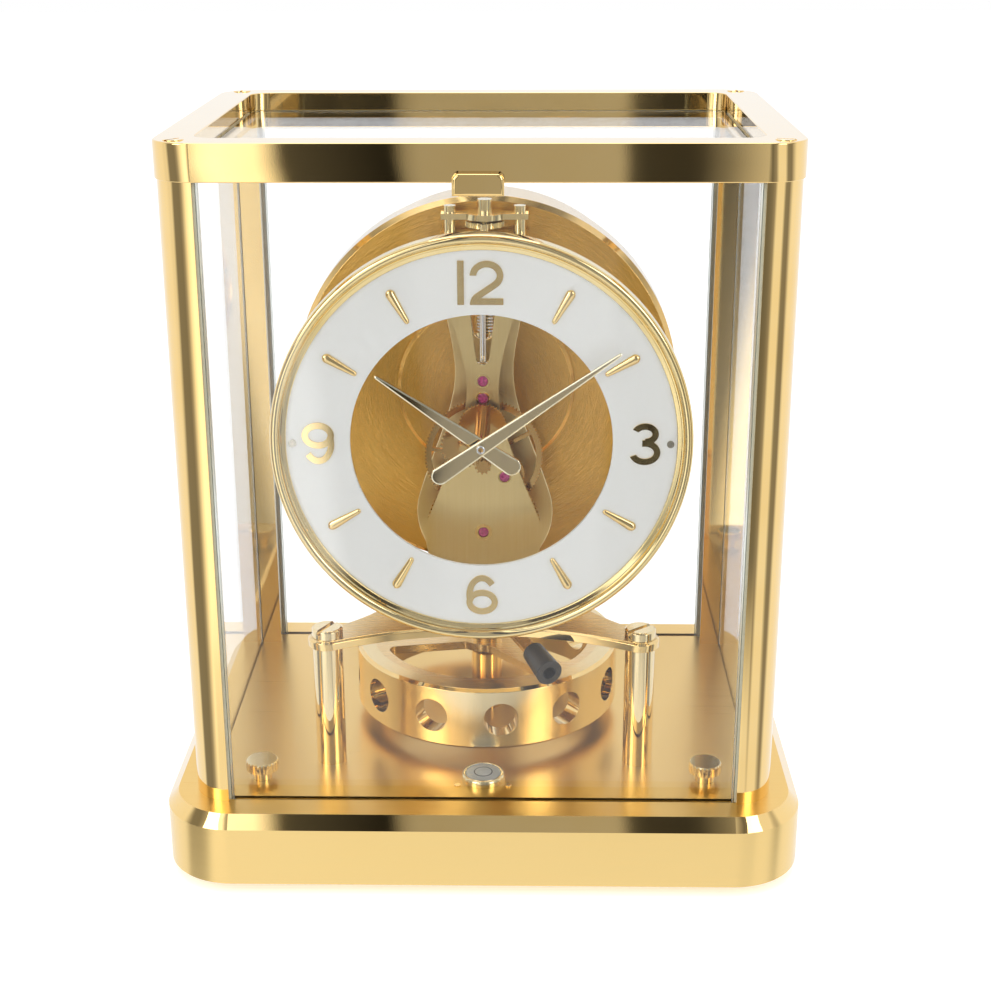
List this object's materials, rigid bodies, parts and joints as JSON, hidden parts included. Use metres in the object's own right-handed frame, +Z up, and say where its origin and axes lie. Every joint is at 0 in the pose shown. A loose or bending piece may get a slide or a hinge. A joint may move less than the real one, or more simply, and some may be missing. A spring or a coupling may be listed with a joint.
{
  "type": "atmospheric clock",
  "caption": "Mantel clock in a gilded glass case: round dial in front of a wheel train and bellows drum, with a torsion balance below.",
  "frame": {"origin": "on the floor under the middle of the plinth", "axes": "+Z up, +X to the reader's right, -Y towards the reader of the dial"},
  "size_m": [0.198, 0.1534, 0.2282],
  "materials": {
    "polished_gilt": "mirror polish",
    "brushed_gilt": "brushed",
    "steel": "satin",
    "capsule_brass": "plain",
    "clear_glass": "clear",
    "white_enamel": "satin enamel",
    "ruby": "polished",
    "black_rubber": "matte"
  },
  "bodies": {
    "case": {"base_plinth": "brushed_gilt", "base_cover": "steel", "rear_foot": "black_rubber", "level_housing": "steel", "level_lens": "clear_glass", "level_screws": "polished_gilt", "corner_posts": "polished_gilt", "top_frame": "polished_gilt", "frame_screws": "polished_gilt", "top_glass": "clear_glass", "rear_glass": "clear_glass", "side_glasses": "clear_glass", "glass_gaskets": "black_rubber", "pillars": "polished_gilt", "support_plate": "polished_gilt", "pillar_screws": "polished_gilt", "stop_post": "polished_gilt", "lever_bush": "polished_gilt", "front_plate": "brushed_gilt", "back_plate": "brushed_gilt", "plate_pillars": "brushed_gilt", "rubies": "ruby", "dial_ring": "white_enamel", "bezel": "polished_gilt", "hour_markers": "brushed_gilt", "dial_posts": "brushed_gilt", "drum_body": "polished_gilt", "drum_cover": "polished_gilt", "bellows": "capsule_brass", "regulator_base": "polished_gilt", "regulator_plate": "polished_gilt", "suspension_tube": "polished_gilt", "tube_spring": "steel", "pane_catch": "polished_gilt"},
    "front_pane": {"front_glass": "clear_glass"},
    "balance": {"balance_ring": "polished_gilt", "balance_web": "polished_gilt", "balance_hub": "polished_gilt", "torsion_wire": "steel"},
    "lever": {"lock_lever": "polished_gilt", "lever_tip": "black_rubber"},
    "minute_arbor": {"cannon_pinion": "steel", "minute_hand": "brushed_gilt", "hand_nut": "steel"},
    "hour_arbor": {"hour_wheel": "brushed_gilt", "hour_hand": "brushed_gilt"},
    "minute_wheel_arbor": {"minute_wheel": "brushed_gilt"},
    "centre_arbor": {"centre_wheel": "brushed_gilt"},
    "third_arbor": {"third_wheel": "brushed_gilt"},
    "barrel_arbor": {"barrel": "brushed_gilt"},
    "escape_arbor": {"escape_wheel": "brushed_gilt"},
    "pallet_arbor": {"pallet_fork": "steel"},
    "winding_arbor": {"ratchet": "steel"},
    "capsule_cap": {"bellows_cap": "capsule_brass", "bellows_spring": "steel"},
    "regulator": {"regulator_wheel": "polished_gilt"},
    "left_foot": {"foot_pad_left": "black_rubber"},
    "left_screw": {"levelling_screw_left": "polished_gilt"},
    "right_foot": {"foot_pad_right": "black_rubber"},
    "right_screw": {"levelling_screw_right": "polished_gilt"}
  },
  "joints": [
    {"name": "front_pane_lift", "type": "slide", "parent": "case", "child": "front_pane", "axis": [0, 0, 1], "range_m": [0, 0.005]},
    {"name": "balance_swing", "type": "hinge", "parent": "case", "child": "balance", "pos_m": [0, 0.005, 0.05], "axis": [0, 0, 1], "range_deg": [-270, 270], "stiffness_Nm_per_rad": 0.0000045},
    {"name": "lock_lever_turn", "type": "hinge", "parent": "case", "child": "lever", "pos_m": [0, 0.005, 0.0636], "axis": [0, 0, 1], "range_deg": [-46.8, 0]},
    {"name": "minute_turn", "type": "hinge", "parent": "case", "child": "minute_arbor", "pos_m": [0, -0.04, 0.1382], "axis": [0, 1, 0], "continuous": true},
    {"name": "hour_turn", "type": "hinge", "parent": "case", "child": "hour_arbor", "pos_m": [0, -0.04, 0.1382], "axis": [0, 1, 0], "continuous": true},
    {"name": "minute_wheel_turn", "type": "hinge", "parent": "case", "child": "minute_wheel_arbor", "pos_m": [-0.00601, -0.032, 0.1315], "axis": [0, 1, 0], "continuous": true},
    {"name": "centre_wheel_turn", "type": "hinge", "parent": "case", "child": "centre_arbor", "pos_m": [0, -0.0205, 0.1248], "axis": [0, 1, 0], "continuous": true},
    {"name": "third_wheel_turn", "type": "hinge", "parent": "case", "child": "third_arbor", "pos_m": [0.0066, -0.026, 0.121], "axis": [0, 1, 0], "continuous": true},
    {"name": "barrel_turn", "type": "hinge", "parent": "case", "child": "barrel_arbor", "pos_m": [0, -0.02, 0.1027], "axis": [0, 1, 0], "continuous": true},
    {"name": "escape_wheel_turn", "type": "hinge", "parent": "case", "child": "escape_arbor", "pos_m": [0, -0.016, 0.1462], "axis": [0, 1, 0], "continuous": true},
    {"name": "ratchet_turn", "type": "hinge", "parent": "case", "child": "winding_arbor", "pos_m": [0, -0.008, 0.1027], "axis": [0, 1, 0], "continuous": true},
    {"name": "pallet_rock", "type": "hinge", "parent": "case", "child": "pallet_arbor", "pos_m": [0, -0.016, 0.1516], "axis": [0, 1, 0], "range_deg": [-3, 3]},
    {"name": "capsule_push", "type": "slide", "parent": "case", "child": "capsule_cap", "axis": [0, -1, 0], "range_m": [0, 0.003], "stiffness_N_per_m": 600},
    {"name": "regulator_turn", "type": "hinge", "parent": "case", "child": "regulator", "pos_m": [0, 0.005, 0.1933], "axis": [0, 0, 1], "range_deg": [-60, 60]},
    {"name": "left_foot_slide", "type": "slide", "parent": "case", "child": "left_foot", "axis": [0, 0, 1], "range_m": [-0.00075, 0.00075]},
    {"name": "left_screw_turn", "type": "hinge", "parent": "left_foot", "child": "left_screw", "pos_m": [-0.07, -0.0492, 0.029], "axis": [0, 0, 1], "range_deg": [-360, 360]},
    {"name": "right_foot_slide", "type": "slide", "parent": "case", "child": "right_foot", "axis": [0, 0, 1], "range_m": [-0.00075, 0.00075]},
    {"name": "right_screw_turn", "type": "hinge", "parent": "right_foot", "child": "right_screw", "pos_m": [0.07, -0.0492, 0.029], "axis": [0, 0, 1], "range_deg": [-360, 360]}
  ],
  "couplings": [
    {"joint": "hour_turn", "follows": "minute_turn", "ratio": 0.083333},
    {"joint": "minute_wheel_turn", "follows": "minute_turn", "ratio": -0.33333},
    {"joint": "centre_wheel_turn", "follows": "minute_turn", "ratio": 1},
    {"joint": "third_wheel_turn", "follows": "minute_turn", "ratio": -0.25},
    {"joint": "barrel_turn", "follows": "minute_turn", "ratio": 0.027108},
    {"joint": "escape_wheel_turn", "follows": "minute_turn", "ratio": -6},
    {"joint": "left_screw_turn", "follows": "left_foot_slide", "rad_per_m": 8377.6},
    {"joint": "right_screw_turn", "follows": "right_foot_slide", "rad_per_m": 8377.6}
  ]
}
